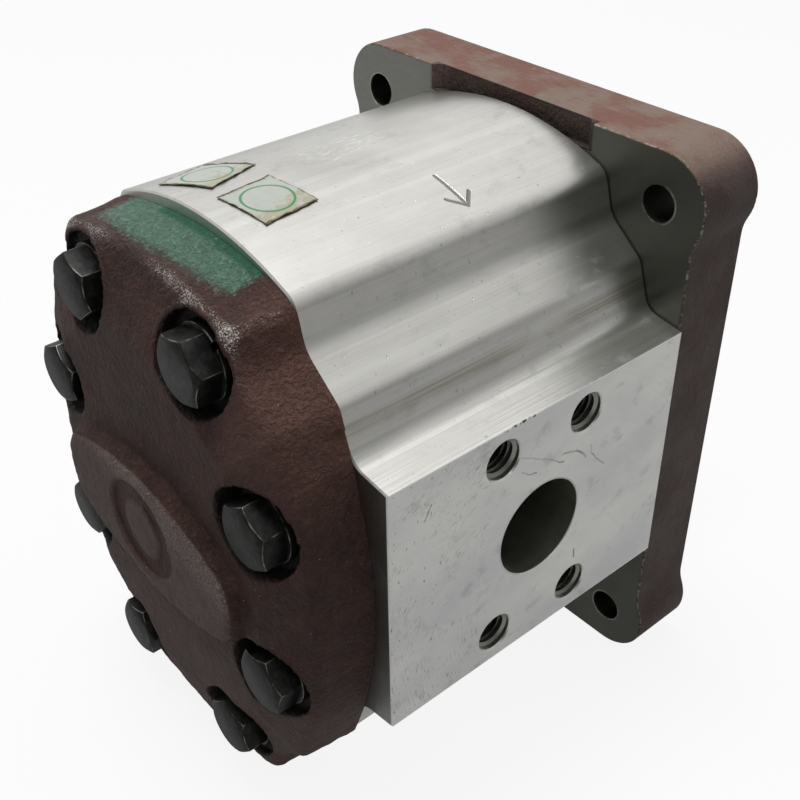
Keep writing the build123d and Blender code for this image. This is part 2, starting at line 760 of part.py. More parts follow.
with BuildPart() as shaft_nut:
    nut_back_y = taper_end + washer_thickness
    nut_corner_radius = nut_width / math.sqrt(3)
    nut_crown_drop = (nut_corner_radius - nut_width / 2) * math.tan(math.radians(bolt_head_chamfer_angle))
    with BuildSketch(section(nut_back_y + nut_height)):
        RegularPolygon(nut_width / 2, 6, major_radius=False)
    extrude(amount=nut_height)
    with BuildSketch(Plane.YZ):
        with BuildLine():
            Polyline(
                (nut_back_y, 0),
                (nut_back_y, nut_width / 2),
                (nut_back_y + nut_crown_drop, nut_corner_radius),
                (nut_back_y + nut_height - nut_crown_drop, nut_corner_radius),
                (nut_back_y + nut_height, nut_width / 2),
                (nut_back_y + nut_height, 0),
                close=True,
            )
        make_face()
    revolve(axis=Axis.Y, mode=Mode.INTERSECT)
    with BuildSketch(section(nut_back_y + nut_height)):
        Circle(thread_diameter / 2 + thread_clearance)
    extrude(amount=nut_height, mode=Mode.SUBTRACT)

pieces = {
    "front_flange": front_flange,
    "gear_housing": gear_housing,
    "rear_cover": rear_cover,
    "cover_bolts": cover_bolts,
    "lock_washers": lock_washers,
    "drive_gear": drive_gear,
    "driven_gear": driven_gear,
    "front_bearing_block": front_bearing_block,
    "rear_bearing_block": rear_bearing_block,
    "front_drive_bush": front_drive_bush,
    "front_driven_bush": front_driven_bush,
    "rear_drive_bush": rear_drive_bush,
    "rear_driven_bush": rear_driven_bush,
    "front_balance_seal": front_balance_seal,
    "rear_balance_seal": rear_balance_seal,
    "front_backup_ring": front_backup_ring,
    "rear_backup_ring": rear_backup_ring,
    "front_housing_seal": front_housing_seal,
    "rear_housing_seal": rear_housing_seal,
    "front_dowels": front_dowels,
    "rear_dowels": rear_dowels,
    "shaft_seal": shaft_seal,
    "seal_retaining_ring": seal_retaining_ring,
    "shaft_key": shaft_key,
    "shaft_washer": shaft_washer,
    "shaft_nut": shaft_nut,
}
os.makedirs("parts", exist_ok=True)
for label, piece in pieces.items():
    piece.part.label = label
    export_step(piece.part, f"parts/{label}.step")
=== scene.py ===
import json
import math

import bmesh
import bpy
from mathutils import Matrix, Vector, noise


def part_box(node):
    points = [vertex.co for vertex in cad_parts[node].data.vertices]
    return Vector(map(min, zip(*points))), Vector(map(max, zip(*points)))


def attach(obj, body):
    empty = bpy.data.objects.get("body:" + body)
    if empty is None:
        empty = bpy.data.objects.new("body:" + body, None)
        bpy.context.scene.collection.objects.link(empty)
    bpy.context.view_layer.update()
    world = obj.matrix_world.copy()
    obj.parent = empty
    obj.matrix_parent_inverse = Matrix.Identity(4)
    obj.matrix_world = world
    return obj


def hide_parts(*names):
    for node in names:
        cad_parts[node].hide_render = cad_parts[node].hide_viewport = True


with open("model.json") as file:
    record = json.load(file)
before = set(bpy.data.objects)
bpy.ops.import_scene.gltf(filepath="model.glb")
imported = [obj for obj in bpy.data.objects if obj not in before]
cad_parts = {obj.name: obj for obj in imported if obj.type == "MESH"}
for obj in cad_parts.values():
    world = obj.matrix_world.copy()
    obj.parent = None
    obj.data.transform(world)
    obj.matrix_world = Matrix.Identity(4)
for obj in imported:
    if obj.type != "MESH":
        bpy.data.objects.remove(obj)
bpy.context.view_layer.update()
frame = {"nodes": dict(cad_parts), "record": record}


# The camera stands where the photographer stood, a little over a quarter of a metre from the pump,
# looking down on the rear cover, the crown of the housing and the port pad on the +X side.
azimuth = math.radians(49.748)
elevation = math.radians(35.339)
roll = math.radians(-0.712)
camera_distance = 0.294612
aim = Vector((0, -0.080, -0.0216))
aim_to_right = 0.018143
aim_to_top = 0.0085
camera_back = Vector(
    (
        math.sin(azimuth) * math.cos(elevation),
        -math.cos(azimuth) * math.cos(elevation),
        math.sin(elevation),
    )
)
level_right = Vector((math.cos(azimuth), math.sin(azimuth), 0))
level_up = camera_back.cross(level_right)
camera_right = level_right * math.cos(roll) + level_up * math.sin(roll)
camera_up = level_up * math.cos(roll) - level_right * math.sin(roll)
look_at = aim + camera_right * aim_to_right + camera_up * aim_to_top
bpy.ops.object.select_all(action="DESELECT")
bpy.ops.object.camera_add()
camera = bpy.context.object
camera.matrix_world = Matrix.LocRotScale(
    look_at + camera_back * camera_distance,
    Matrix((camera_right, camera_up, camera_back)).transposed().to_quaternion(),
    None,
)
camera.data.sensor_width = 36.0
camera.data.lens = 51.255
camera.data.clip_start = 0.01
bpy.context.scene.camera = camera
bpy.context.scene.view_settings.view_transform = "Standard"


# The pump stands on a white photographer's table, on the lower lugs of its flange and the lower
# edge at the joint of its housing and cover. The table keeps the pump's soft shadow.
table_gap = 0.0002
flange_low, flange_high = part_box("front_flange")
housing_low, housing_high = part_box("gear_housing")
cover_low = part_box("rear_cover")[0]
heel_z = min(housing_low.z, cover_low.z)
rest_slope = math.atan2(heel_z - flange_low.z, flange_low.y - housing_low.y)
bpy.ops.mesh.primitive_plane_add(
    size=4.0,
    location=(0, flange_low.y, flange_low.z - table_gap),
    rotation=(-rest_slope, 0, 0),
)
table = bpy.context.object
table.name = "table"


class Shade:
    """One value of a material. Sums on it add Math nodes, and node() adds any other one."""

    def __init__(self, tree, socket=None):
        self.tree = tree
        self.socket = socket

    def node(self, kind, settings=None, values=None, output=0):
        """Adds a node, sets it up, fills or links its sockets and gives one of its outputs."""
        made = self.tree.nodes.new("ShaderNode" + kind)
        for name, value in (settings or {}).items():
            setattr(made, name, value)
        for key, value in (values or {}).items():
            if isinstance(value, Shade):
                self.tree.links.new(value.socket, made.inputs[key])
            else:
                made.inputs[key].default_value = value
        return Shade(self.tree, made.outputs[output])

    def maths(self, operation, *others):
        return self.node("Math", {"operation": operation}, dict(enumerate((self, *others))))

    def __add__(self, other):
        return self.maths("ADD", other)

    def __sub__(self, other):
        return self.maths("SUBTRACT", other)

    def __rsub__(self, other):
        return self.node("Math", {"operation": "SUBTRACT"}, {0: other, 1: self})

    def __mul__(self, other):
        return self.maths("MULTIPLY", other)

    def __pow__(self, other):
        return self.maths("POWER", other)

    def __or__(self, other):
        return self.maths("MAXIMUM", other)

    def __and__(self, other):
        return self.maths("MINIMUM", other)

    def __abs__(self):
        return self.maths("ABSOLUTE")

    __radd__ = __add__

    def hypot(self, other):
        """The long side over two lengths at a right angle."""
        return (self**2 + other**2) ** 0.5

    def rise(self, low, high):
        """0 below low and 1 above high, with a soft step between them."""
        return self.node(
            "MapRange", {"interpolation_type": "SMOOTHSTEP"}, {0: self, 1: low, 2: high}
        )

    def parts(self):
        """The x, y and z of a place."""
        split = self.node("SeparateXYZ", values={0: self}).socket.node
        return [Shade(self.tree, output) for output in split.outputs]

    def cloud(self, size, stretch=(1, 1, 1), detail=3.0, rough=0.5, shift=0.0):
        """Soft noise from 0 to 1, in lumps of the given size in millimetres, longer by stretch."""
        scale = tuple(1 / (size * part) for part in stretch)
        moved = self.node(
            "Mapping", values={"Vector": self, "Location": (shift, shift, shift), "Scale": scale}
        )
        return self.node(
            "TexNoise", values={"Vector": moved, "Scale": 1.0, "Detail": detail, "Roughness": rough}
        )

    def over(self, under, upper):
        """The colour under, covered by the colour upper where this mask is 1."""
        return self.node("Mix", {"data_type": "RGBA"}, {0: self, 6: under, 7: upper}, output=2)

    def relief(self):
        """A bumped normal whose heights are this value in millimetres."""
        return self.node("Bump", values={"Height": self, "Distance": 0.001, "Strength": 1.0})

    def rays(self):
        """Masks of the rays that come from the camera, off something glossy and through glass."""
        kinds = ("Is Camera Ray", "Is Glossy Ray", "Is Transmission Ray")
        return [self.node("LightPath", output=kind) for kind in kinds]

    def show(self, kind):
        """Makes this shader the surface of its material or world."""
        shown_by = self.tree.nodes.new("ShaderNodeOutput" + kind)
        self.tree.links.new(self.socket, shown_by.inputs["Surface"])


def bare_nodes(owner):
    """Clears the nodes of a material or a world, and gives the value its new ones start from."""
    owner.use_nodes = True
    owner.node_tree.nodes.clear()
    return Shade(owner.node_tree)


pure_white = (1.0, 1.0, 1.0, 1.0)
grey_to_the_pump = (0.37, 0.37, 0.365, 1.0)
white_to_the_camera = (0.95, 0.95, 0.95, 1.0)
table_paint = bpy.data.materials.new("white_table")
table_start = bare_nodes(table_paint)
seen, mirrored, through = table_start.rays()
table_colour = seen.over(grey_to_the_pump, white_to_the_camera)
matt = table_start.node("BsdfDiffuse", values={"Color": table_colour})
glow = table_start.node("Emission", values={"Color": pure_white, "Strength": 1.0})
glow_share = seen * 0.88 + (mirrored | through) * 0.26
table_start.node("MixShader", values={0: glow_share, 1: matt, 2: glow}).show("Material")
table.data.materials.append(table_paint)


# The room is white to the camera. Its light is one soft gradient, brightest high up on the far
# left, where a skylight is, and darkest low down on the photographer's side.
room = bpy.data.worlds.new("white_room")
bpy.context.scene.world = room
room_start = bare_nodes(room)
seen, mirrored, through = room_start.rays()
east, north, upward = room_start.node("TexCoord", output="Generated").parts()
sky = (0.33 - east * 0.28 + north * 0.26 + upward * 0.43) | 0.09
for_matt = sky * 0.62 + 0.02
for_metal = mirrored * (sky - for_matt) + for_matt
strength = (seen | through) * (1.0 - for_metal) + for_metal
room_light = room_start.node("Background", values={"Color": pure_white, "Strength": strength})
room_light.show("World")

lamp_aim = Vector((0, -0.07, -0.03))
for lamp, spot, width, power in (
    ("skylight", (-0.20, -0.10, 1.25), 0.5, 8.4),
    ("window", (0.75, -0.30, 1.00), 0.4, 0.9),
):
    bpy.ops.object.light_add(type="AREA", location=spot)
    light = bpy.context.object
    light.name = lamp
    light.data.size = width
    light.data.energy = power
    light.rotation_euler = (lamp_aim - Vector(spot)).to_track_quat("-Z", "Y").to_euler()


# The housing is sawn from an aluminium extrusion, so its skin has fine streaks along the shafts.
# Its two port pads and its two ends are milled flat, and it has picked up smudges and scratches.
mounts = {mount["name"]: mount for mount in frame["record"]["mounts"]}
inlet = mounts["inlet_port"]
port_centre_y = inlet["pos_m"][1] * 1000
body_centre_z = inlet["pos_m"][2] * 1000
port_radius = inlet["dims"]["r_mm"]
pad_face_x = housing_high.x * 1000
pad_half_height = 34.3
housing_front_y = housing_high.y * 1000
housing_rear_y = housing_low.y * 1000
# A scratch is the width of its line and the points that it runs through, in millimetres
pad_scratches = (
    (0.24, ((-73.2, 2.4), (-66.0, -1.6), (-58.7, -5.6))),
    (0.36, ((-58.9, -3.2), (-54.8, -4.9), (-51.5, -8.7))),
    (0.24, ((-50.2, -5.6), (-49.5, -8.3), (-43.8, -13.7))),
    (0.20, ((-72.9, -1.6), (-68.0, -4.4))),
    (0.40, ((-52.4, -37.1), (-52.1, -39.6))),
    (0.36, ((-99.6, 4.0), (-101.0, 1.0))),
)
flow_arrow = (
    ((17.5, -60.0), (28.5, -60.0)),
    ((25.0, -63.4), (28.5, -60.0), (25.0, -56.6)),
)
arrow_line_width = 0.6


def shown(red, green, blue):
    """A colour as it looks in a photograph, from 0 to 255, as the linear colour of a material."""
    parts = [part / 255 for part in (red, green, blue)]
    return (*[p / 12.92 if p <= 0.04045 else ((p + 0.055) / 1.055) ** 2.4 for p in parts], 1.0)


def finish(name, surface):
    """A material named for a finish, whose sockets come from surface(place in millimetres)."""
    material = bpy.data.materials.new(name)
    start = bare_nodes(material)
    where = start.node("TexCoord", output="Object")
    place = where.node("VectorMath", {"operation": "SCALE"}, {0: where, "Scale": 1000.0})
    start.node("BsdfPrincipled", values=surface(place)).show("Material")
    return material


def wear(nodes, material):
    """Gives CAD nodes a material."""
    for name in nodes:
        for material_slot in frame["nodes"][name].material_slots:
            material_slot.material = material


def highest(masks):
    """The highest of several masks."""
    top, *others = masks
    for mask in others:
        top = top | mask
    return top


def scratch(across, along, points, width):
    """A mask of the thin line that runs through the given points of a flat face."""
    lines = []
    for (from_a, from_b), (to_a, to_b) in zip(points, points[1:]):
        length = math.hypot(to_a - from_a, to_b - from_b)
        step_a = (to_a - from_a) / length
        step_b = (to_b - from_b) / length
        beside_a = across - from_a
        beside_b = along - from_b
        reached = ((beside_a * step_a + beside_b * step_b) | 0.0) & length
        gap = (beside_a - reached * step_a).hypot(beside_b - reached * step_b)
        lines.append(gap.rise(width, width * 0.4))
    return highest(lines)


def extruded_aluminium(place):
    x, y, z = place.parts()
    pad = abs(x).rise(pad_face_x - 0.15, pad_face_x - 0.05)
    inlet_side = x.rise(pad_face_x - 0.15, pad_face_x - 0.05)
    rear_end = y.rise(housing_rear_y + 0.1, housing_rear_y + 0.03)
    ends = rear_end | y.rise(housing_front_y - 0.1, housing_front_y - 0.03)
    skin = 1 - (pad | ends)
    above_centre = z - body_centre_z
    from_port = (y - port_centre_y).hypot(above_centre)
    inside = from_port.rise(port_radius + 0.3, port_radius + 0.1)
    inside = inside * abs(x).rise(pad_face_x - 0.1, pad_face_x - 0.4)

    # The die has drawn fine lines along the skin, and oil has gone olive in one line of them
    die_lines = place.cloud(0.32, (1, 160, 1), 4, 0.65)
    broad_lines = place.cloud(3.6, (1, 80, 1), 2, 0.5, 3.0)
    mottle = place.cloud(5.0, (1, 2.2, 1), 5, 0.62, 11.0)
    cloudy = place.cloud(22.0, (1, 1.6, 1), 3, 0.5, 31.0)
    satin = mottle.over(shown(208, 207, 201), shown(233, 232, 227))
    low_slope = abs(x).rise(48.0, 53.0)
    dark_lines = die_lines.rise(0.42, 0.72) * skin * (0.2 + low_slope * 0.3)
    lined = dark_lines.over(satin, shown(160, 160, 154))
    slope_lines = die_lines.rise(0.44, 0.34) * low_slope * 0.6
    bright_lines = broad_lines.rise(0.5, 0.72) * 0.35 | slope_lines
    banded = (bright_lines * skin).over(lined, shown(246, 246, 240))
    olive_line = z.rise(18.5, 20.2) * z.rise(23.4, 21.8) * abs(x).rise(46.5, 47.2)
    olive_line = olive_line * (0.35 + die_lines.rise(0.35, 0.6) * 0.65) * cloudy.rise(0.3, 0.5)
    oiled = (olive_line * 0.55).over(banded, shown(148, 142, 116))

    # The pads are fly cut, so they carry faint arcs, scratches and nicks, and a burr on their edges
    cutter_reach = (y + 62.0).hypot(z + 42.0)
    swept = place.node("CombineXYZ", values={0: cutter_reach, 1: (y + z) * 0.07, 2: x})
    arcs = swept.cloud(0.26, (1, 1, 1), 3, 0.65)
    patches = cloudy.rise(0.3, 0.7) * 0.6 + mottle * 0.4
    milled = patches.over(shown(213, 214, 217), shown(247, 247, 241))
    cut = (pad * (0.72 + arcs.rise(0.35, 0.65) * 0.28)).over(oiled, milled)
    nicks = place.cloud(0.9, (1, 0.8, 1.9), 2, 0.5, 17.0).rise(0.7, 0.74)
    grime = place.cloud(7.0, (1, 1, 1.3), 5, 0.7, 6.0).rise(0.5, 0.72) * y.rise(-80.0, -102.0)
    fine_grime = place.cloud(0.5, (1, 1, 1.6), 3, 0.7, 8.0).rise(0.48, 0.62) * grime * pad
    sway = place.cloud(8.0, (1, 1, 1), 3, 0.45, 50.0) * 4.0 - 2.0
    along = y + sway
    up = z + sway * 0.6
    scratches = highest([scratch(along, up, points, width) for width, points in pad_scratches])
    scratches = scratches * inlet_side * (0.35 + mottle.rise(0.38, 0.56) * 0.65)
    sweep = arcs.rise(0.53, 0.66) * pad * mottle.rise(0.44, 0.6) * y.rise(-72.0, -86.0)
    marked = (fine_grime * 0.4 | scratches * 0.7 | sweep * 0.5).over(cut, shown(88, 88, 84))
    nicked_places = pad * y.rise(-84.0, -100.0) + skin * 0.5
    nicked = (nicks * nicked_places * 0.7).over(marked, shown(84, 83, 78))
    burr = pad * abs(above_centre).rise(pad_half_height - 0.45, pad_half_height - 0.2)
    torn = place.cloud(1.1, (1, 1, 1), 3, 0.7, 2.0).rise(0.45, 0.6)
    chipped = torn * inlet_side * above_centre.rise(pad_half_height - 0.9, pad_half_height - 0.4)
    chipped = chipped * y.rise(-79.5, -78.9) * y.rise(-69.4, -70.0)
    edged = (burr * 0.85).over(nicked, shown(246, 246, 242))
    chipped_edge = chipped.over(edged, shown(40, 39, 36))

    # The ends are milled across and painted darker as shade, darkest low down, and the crown has
    # light scuffs in a faint smear
    saw_lines = place.cloud(0.5, (5, 1, 30), 3, 0.6, 5.0)
    low_end_in_shade = saw_lines.over(shown(104, 106, 102), shown(160, 161, 157))
    end_face = z.rise(34.0, 44.0).over(low_end_in_shade, shown(226, 226, 220))
    faced = (ends * 0.9).over(chipped_edge, end_face)
    on_crown = skin * z.rise(44.0, 47.0)
    smear = abs(x + mottle * 6.0).rise(14.0, 4.0) * abs(y + 66.0).rise(28.0, 12.0) * on_crown
    smeared = (smear * cloudy.rise(0.35, 0.6) * 0.4).over(faced, shown(186, 185, 176))
    scuffs = place.cloud(0.8, (1, 3.5, 1), 5, 0.7, 40.0).rise(0.5, 0.62) * on_crown
    scuffs = scuffs * abs(x + 4.5 + mottle * 3.0).rise(8.0, 4.0) * abs(y + 67.5).rise(14.5, 8.0)
    scuffed = (scuffs * 0.55).over(smeared, shown(252, 252, 249))
    smudge = place.cloud(6.0, (1, 1.5, 1), 5, 0.7, 23.0).rise(0.54, 0.72)
    dirty = (smudge * 0.3).over(scuffed, shown(150, 150, 146))

    # A flow arrow that points to the inlet is stamped into the crown, and the ports are oily, their
    # bores painted darker deeper in as shade
    arrow = highest([scratch(x, y, points, arrow_line_width) for points in flow_arrow])
    arrow = arrow * skin * z.rise(40.0, 42.0)
    stamped = (arrow * 0.75).over(dirty, shown(92, 90, 82))
    bore_depth_shade = abs(x).rise(40.0, 60.4).over(shown(150, 154, 134), shown(240, 242, 230))
    bore_wall = (mottle.rise(0.3, 0.7) * 0.3).over(bore_depth_shade, shown(120, 124, 96))
    witness = pad * from_port.rise(port_radius + 0.34, port_radius + 0.1)
    rougher = die_lines * 0.12 * skin + smudge * 0.1 + pad * 0.1 + ends * 0.1
    height = die_lines * skin * 0.006 + broad_lines * skin * 0.014 + arcs * pad * 0.004
    height = height + saw_lines * ends * 0.012 - nicks * 0.03 - arrow * 0.22
    height = height - witness * 0.3 - fine_grime * 0.02
    return {
        "Base Color": (inside * 0.9).over(stamped, bore_wall),
        "Metallic": 1.0,
        "Roughness": 0.27 + rougher - burr * 0.1,
        "Normal": height.relief(),
    }


wear(["gear_housing"], finish("extruded_aluminium", extruded_aluminium))


# The four bolt holes round each port are tapped M10. A thread is one helical ridge that stands up
# from the wall of the hole to its crest, and its first turn starts just inside the chamfer.
thread_pitch = 0.0015
thread_root_radius = 0.00505
thread_crest_radius = 0.0042
thread_turns = 8
thread_depth_at_start = 0.0011
crest_half_width = thread_pitch * 0.08
root_half_width = thread_pitch * 0.46
steps_per_turn = 28


def oily_shaded_threads(place):
    x = place.parts()[0]
    # The threads are painted darker deeper in the hole as shade, with oil mottled over them
    oil = place.cloud(1.2, (1, 1, 1), 3, 0.6, 4.0)
    depth_shade = abs(x).rise(pad_face_x - 1.2, pad_face_x - 4.8)
    return {
        "Base Color": (depth_shade * 0.7 + oil * 0.3).over(shown(168, 168, 160), shown(70, 70, 64)),
        "Metallic": 1.0,
        "Roughness": 0.28 + oil * 0.14,
        "Normal": (oil * 0.03).relief(),
    }


def helical_ridge(name, root_radius, crest_radius, turns):
    """The ridge of a thread along the X axis, which is wide at its root and narrow at its crest."""
    bpy.ops.object.select_all(action="DESELECT")
    bpy.ops.mesh.primitive_plane_add(size=1.0)
    ridge = bpy.context.object
    ridge.name = name
    for corner in ridge.data.vertices:
        at_crest = corner.co.y < 0
        half_width = crest_half_width if at_crest else root_half_width
        corner.co.x = math.copysign(half_width, corner.co.x)
        corner.co.y = crest_radius if at_crest else root_radius
    screw = ridge.modifiers.new("helix", "SCREW")
    screw.axis = "X"
    screw.screw_offset = thread_pitch
    screw.iterations = turns
    screw.steps = steps_per_turn
    screw.render_steps = steps_per_turn
    bpy.ops.object.modifier_apply(modifier=screw.name)
    bpy.ops.object.mode_set(mode="EDIT")
    bpy.ops.mesh.select_all(action="SELECT")
    bpy.ops.mesh.remove_doubles(threshold=0.000001)
    bpy.ops.mesh.normals_make_consistent(inside=False)
    bpy.ops.object.mode_set(mode="OBJECT")
    bpy.ops.object.shade_smooth_by_angle(angle=math.radians(35))
    return ridge


thread = helical_ridge("port_threads", thread_root_radius, thread_crest_radius, thread_turns)
threads = bmesh.new()
for port, into_pump in (("inlet_bolts", math.pi), ("outlet_bolts", 0.0)):
    side = mounts[port]["axis"][0]
    spacing_y = mounts[port]["dims"]["spacing_x_mm"] / 1000
    spacing_z = mounts[port]["dims"]["spacing_y_mm"] / 1000
    for along in (-0.5, 0.5):
        for upward in (-0.5, 0.5):
            first_turn = Vector(
                (
                    side * (pad_face_x / 1000 - thread_depth_at_start),
                    port_centre_y / 1000 + along * spacing_y,
                    body_centre_z / 1000 + upward * spacing_z,
                )
            )
            placed = thread.data.copy()
            placed.transform(Matrix.Translation(first_turn) @ Matrix.Rotation(into_pump, 4, "Z"))
            threads.from_mesh(placed)
            bpy.data.meshes.remove(placed)
threads.to_mesh(thread.data)
threads.free()
thread.data.materials.append(finish("oily_shaded_threads", oily_shaded_threads))
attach(thread, "case")


# Two square paper labels are stuck on the crown near the rear edge. Each is pale paper with a
# printed green ring, and its edges have lifted, torn and gone brown with oil.
paper_thickness = 0.00012
glue_thickness = 0.06
crown_radius = 82.0
crown_top_z = body_centre_z + 73.26
ring_radius = 5.75
ring_outer_half_width = 0.34
ring_inner_half_width = 0.26
squares_along_edge = 48
tear_share = 0.025
curl_start = 0.72
curl_height = 2.2
curl_change = 4.0


def paper_label(ring_x, ring_y, turn):
    """The printed paper of a label whose ring lies at a place and is turned by an angle."""

    def printed_paper(place):
        x, y = place.parts()[:2]
        along = (x - ring_x) * math.cos(turn) + (y - ring_y) * math.sin(turn)
        across = (y - ring_y) * math.cos(turn) - (x - ring_x) * math.sin(turn)
        wobble = place.cloud(1.6, (1, 1, 1), 4, 0.65, 3.0) * 1.6 - 0.8
        off_ring = along.hypot(across) - ring_radius
        ring = abs(off_ring).rise(ring_outer_half_width, ring_inner_half_width)
        oiled = ((abs(along) | abs(across)) + wobble).rise(6.9, 7.6)
        stained = (place.cloud(3.2, (1, 1, 1), 5, 0.7, 9.0) + along * 0.035).rise(0.6, 0.68)
        fibres = place.cloud(2.0, (1, 1, 1), 3, 0.5, 1.0)
        paper = fibres.over(shown(182, 189, 180), shown(200, 205, 196))
        soiled = (stained * 0.75).over(paper, shown(176, 170, 138))
        inked = (ring * 0.92).over(soiled, shown(52, 138, 78))
        torn = place.cloud(0.8, (1, 1, 1), 4, 0.7, 5.0).rise(0.4, 0.65)
        return {
            "Base Color": oiled.over(inked, torn.over(shown(74, 62, 42), shown(128, 116, 84))),
            "Roughness": 0.38 + oiled * 0.3,
            "Normal": (oiled * torn * 0.12).relief(),
        }

    return printed_paper


def share(value, nothing, full):
    """How far a number has come from nothing to full, as 0 to 1."""
    return min(1.0, max(0.0, (value - nothing) / (full - nothing)))


for label_name, label_x, label_y, label_turn, label_width, label_length in (
    ("rear_label", 5.2, -96.4, 0.12, 15.6, 14.8),
    ("side_label", -16.6, -97.6, 0.35, 15.0, 16.0),
):
    bpy.ops.object.select_all(action="DESELECT")
    bpy.ops.mesh.primitive_grid_add(
        x_subdivisions=squares_along_edge, y_subdivisions=squares_along_edge, size=1.0
    )
    label = bpy.context.object
    label.name = label_name
    for corner in label.data.vertices:
        flat = Vector((corner.co.x * label_width, corner.co.y * label_length, 0))
        near_edge = max(abs(corner.co.x), abs(corner.co.y)) * 2
        torn = noise.noise(flat * 0.55 + Vector((label_x, 0, 4))) * share(near_edge, 0.8, 1.0)
        flat *= 1 + tear_share * torn
        flat.rotate(Matrix.Rotation(label_turn, 3, "Z"))
        x = label_x + flat.x
        y = label_y + flat.y
        crown_z = crown_top_z - crown_radius + math.sqrt(crown_radius**2 - x**2)
        curl = curl_height + curl_change * noise.noise(flat * 0.4)
        curl *= max(0.0, near_edge - curl_start) ** 2
        corner.co = Vector((x, y, crown_z + glue_thickness + max(0.0, curl))) / 1000
    thick = label.modifiers.new("paper", "SOLIDIFY")
    thick.thickness = paper_thickness
    thick.offset = 1.0
    bpy.ops.object.modifier_apply(modifier=thick.name)
    bpy.ops.object.shade_smooth_by_angle(angle=math.radians(40))
    label.data.materials.append(finish(label_name, paper_label(label_x, label_y, label_turn)))
    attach(label, "case")


# The gears and their shafts are one piece each of case-hardened steel, ground all over, and the
# dowels are ground too. The thread beyond the nut is a ridge, with dark oil and painted shade
# between its turns.
shaft_thread_start_y = 38.0
shaft_thread_radius = 7.0
shaft_end_chamfer = 0.001
ridge_height = 0.00014
ridge_in_shaft = 0.0001


def ground_steel(place):
    x, y, z = place.parts()
    lines = place.cloud(0.25, (8, 1, 8), 3, 0.6)
    oil = place.cloud(12.0, (1, 1, 1), 4, 0.6, 5.0).rise(0.5, 0.75)
    from_axis = x.hypot(z)
    # Between the thread's turns the shaft is painted dark, for oil and as painted shade
    oil_and_shade_in_grooves = y.rise(shaft_thread_start_y, shaft_thread_start_y + 0.5)
    oil_and_shade_in_grooves = oil_and_shade_in_grooves * from_axis.rise(shaft_thread_radius - 0.4, shaft_thread_radius - 0.2)
    oil_and_shade_in_grooves = oil_and_shade_in_grooves * from_axis.rise(shaft_thread_radius + 0.09, shaft_thread_radius + 0.05)
    colour = lines.over(shown(170, 172, 175), shown(205, 206, 208))
    oiled = (oil * 0.4).over(colour, shown(150, 146, 138))
    return {
        "Base Color": (oil_and_shade_in_grooves * 0.85).over(oiled, shown(62, 61, 56)),
        "Metallic": 1.0,
        "Roughness": 0.22 + lines * 0.14 + oil * 0.08 + oil_and_shade_in_grooves * 0.15,
        "Normal": (lines * 0.004).relief(),
    }


ground = finish("ground_steel", ground_steel)
wear(["drive_gear", "driven_gear", "front_dowels", "rear_dowels"], ground)
nut_front_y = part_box("shaft_nut")[1].y
shaft_end_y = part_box("drive_gear")[1].y
last_turn_y = shaft_end_y - shaft_end_chamfer - thread_pitch / 2
shaft_turns = math.ceil((last_turn_y - nut_front_y) / thread_pitch)
shaft_thread = helical_ridge(
    "shaft_thread",
    shaft_thread_radius / 1000 - ridge_in_shaft,
    shaft_thread_radius / 1000 + ridge_height,
    shaft_turns,
)
along_shaft = Matrix.Rotation(math.pi / 2, 4, "Z")
to_first_turn = Matrix.Translation((0, last_turn_y - shaft_turns * thread_pitch, 0))
shaft_thread.data.transform(to_first_turn @ along_shaft)
shaft_thread.data.materials.append(ground)
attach(shaft_thread, "drive_shaft")


# The key, the spring washer and the nut on the shaft end are zinc-plated steel. The nut draws the
# driver's hub on to the taper, and the half-round key sits in its slot there.
def zinc_plate(place):
    spangle = place.cloud(3.0, (1, 1, 1), 4, 0.6)
    scuffs = place.cloud(0.4, (1, 1, 6), 3, 0.7, 4.0)
    return {
        "Base Color": spangle.over(shown(176, 174, 160), shown(206, 205, 196)),
        "Metallic": 1.0,
        "Roughness": 0.28 + scuffs * 0.16,
        "Normal": (scuffs * 0.01).relief(),
    }


wear(["shaft_key", "shaft_washer", "shaft_nut"], finish("zinc_plate", zinc_plate))


# The bearing blocks are machined from aluminium and float between the gears and the pump's ends,
# pressed on the gears by the oil behind them.
def block_aluminium(place):
    milling = place.cloud(0.3, (20, 20, 1), 3, 0.6)
    cloudy = place.cloud(8.0, (1, 1, 1), 4, 0.6, 2.0)
    return {
        "Base Color": cloudy.over(shown(176, 178, 180), shown(208, 209, 210)),
        "Metallic": 1.0,
        "Roughness": 0.3 + milling * 0.15,
        "Normal": (milling * 0.006).relief(),
    }


wear(["front_bearing_block", "rear_bearing_block"], finish("block_aluminium", block_aluminium))


# A thin bronze bush is pressed into each of the four bores of the blocks, and the journals of the
# gears run in it on a film of oil.
def bush_bronze(place):
    grains = place.cloud(0.35, (1, 1, 1), 2, 0.6)
    stain = place.cloud(5.0, (1, 1, 1), 4, 0.6, 3.0)
    bronze = stain.over(shown(150, 118, 72), shown(186, 152, 98))
    return {
        "Base Color": (grains * 0.5).over(bronze, shown(110, 86, 58)),
        "Metallic": 1.0,
        "Roughness": 0.4 + grains * 0.15,
        "Normal": (grains * 0.01).relief(),
    }


bushes = ["front_drive_bush", "front_driven_bush", "rear_drive_bush", "rear_driven_bush"]
wear(bushes, finish("bush_bronze", bush_bronze))


# The seals are moulded nitrile rubber: one in the back of each block, one in each end joint of the
# housing, and the lip seal round the shaft.
def seal_rubber(place):
    pores = place.cloud(0.3, (1, 1, 1), 3, 0.7)
    bloom = place.cloud(6.0, (1, 1, 1), 4, 0.6, 8.0)
    return {
        "Base Color": bloom.over(shown(26, 26, 27), shown(46, 46, 46)),
        "Roughness": 0.45 + pores * 0.2,
        "Normal": (pores * 0.02).relief(),
    }


seals = ["front_balance_seal", "rear_balance_seal", "front_housing_seal", "rear_housing_seal"]
wear([*seals, "shaft_seal"], finish("seal_rubber", seal_rubber))


